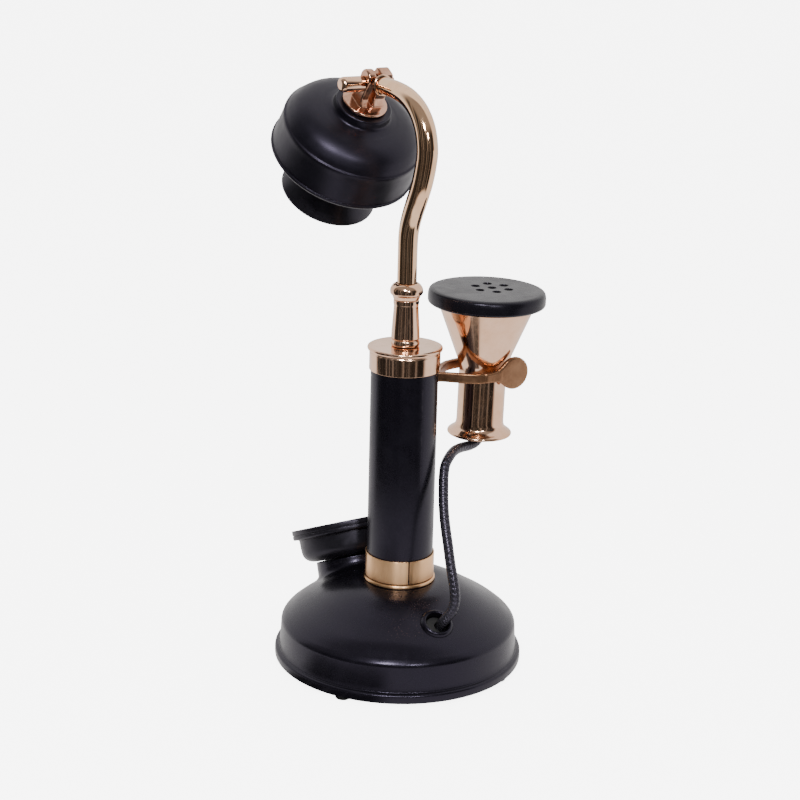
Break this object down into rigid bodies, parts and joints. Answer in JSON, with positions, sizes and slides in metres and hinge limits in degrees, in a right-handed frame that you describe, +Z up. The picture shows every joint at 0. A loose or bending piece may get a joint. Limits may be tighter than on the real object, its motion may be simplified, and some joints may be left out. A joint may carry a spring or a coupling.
{
  "type": "rotary telephone",
  "caption": "Candlestick rotary telephone: round base with a tipped dial, black column, brass gooseneck with a tilting mouthpiece and a brass receiver on a side hook.",
  "frame": {"origin": "on the column's axis, at the level of the feet, under the middle of the base plate", "axes": "+Z up along the column, -Y toward the user (the dial and the mouthpiece face -Y), -X toward the receiver hook"},
  "size_m": [0.167, 0.1904, 0.3531],
  "materials": {
    "enamel_black": "satin near-black enamel",
    "plastic_black": "satin black moulded plastic",
    "brass_polished": "polished rose-toned brass",
    "brass_dull": "unpolished brown brass",
    "steel_plain": "plain steel",
    "rubber_black": "black rubber",
    "plate_ivory": "ivory plate with plain digits",
    "board_green": "green circuit board"
  },
  "bodies": {
    "base": {"base_shell": "enamel_black", "column_tube": "enamel_black", "dial_housing": "plastic_black", "ringer_sounder": "plastic_black", "switch_contacts": "plastic_black", "seat_ring": "brass_polished", "column_ring": "brass_polished", "column_cap": "brass_polished", "post": "brass_polished", "arm_collar": "brass_polished", "gooseneck": "brass_polished", "arm_knuckle": "brass_polished", "base_plate": "steel_plain", "base_screw_1": "steel_plain", "base_screw_2": "steel_plain", "base_screw_3": "steel_plain", "base_screw_4": "steel_plain", "board_pillar_1": "steel_plain", "board_pillar_2": "steel_plain", "column_bush": "steel_plain", "bush_nut": "steel_plain", "post_nut": "steel_plain", "hook_pin": "steel_plain", "hook_bracket": "steel_plain", "dial_bearing": "steel_plain", "dial_frame": "steel_plain", "dial_governor": "steel_plain", "finger_stop": "steel_plain", "foot_1": "rubber_black", "foot_2": "rubber_black", "foot_3": "rubber_black", "foot_4": "rubber_black", "cord_bush": "rubber_black", "receiver_cord": "rubber_black", "number_plate": "plate_ivory", "ringer_board": "board_green"},
    "head": {"head_bracket": "brass_polished", "pivot_bolt": "brass_polished", "thumb_nut": "brass_polished", "head_shell": "enamel_black", "face_plate": "plastic_black", "mouthpiece": "plastic_black", "mouth_grille": "brass_polished", "transmitter_capsule": "steel_plain", "capsule_bridge": "steel_plain"},
    "hook": {"hook_fork": "brass_dull"},
    "receiver": {"receiver_bell": "brass_polished", "receiver_plug": "plastic_black", "ear_cap": "plastic_black", "receiver_diaphragm": "steel_plain", "receiver_magnet": "steel_plain", "receiver_stem": "steel_plain"},
    "dial": {"finger_wheel": "brass_polished", "dial_centre": "brass_polished", "dial_shaft": "steel_plain", "dial_gear": "brass_dull"}
  },
  "joints": [
    {"name": "head_tilt", "type": "hinge", "parent": "base", "child": "head", "pos_m": [0, -0.042, 0.344], "axis": [-1, 0, 0], "range_deg": [-15, 60]},
    {"name": "receiver_lift", "type": "slide", "parent": "base", "child": "receiver", "axis": [-0.7071, 0, 0.7071], "range_m": [0, 0.04]},
    {"name": "hook_lift", "type": "hinge", "parent": "base", "child": "hook", "pos_m": [0.003, 0, 0.174], "axis": [0, 1, 0], "range_deg": [0, 8.1]},
    {"name": "dial_turn", "type": "hinge", "parent": "base", "child": "dial", "pos_m": [0, -0.0615, 0.0685], "axis": [0, 0.4067, -0.9135], "range_deg": [0, 330], "stiffness_Nm_per_rad": 0.006, "springref_deg": -57.3}
  ],
  "couplings": [
    {"joint": "hook_lift", "follows": "receiver_lift", "rad_per_m": 3.49}
  ]
}
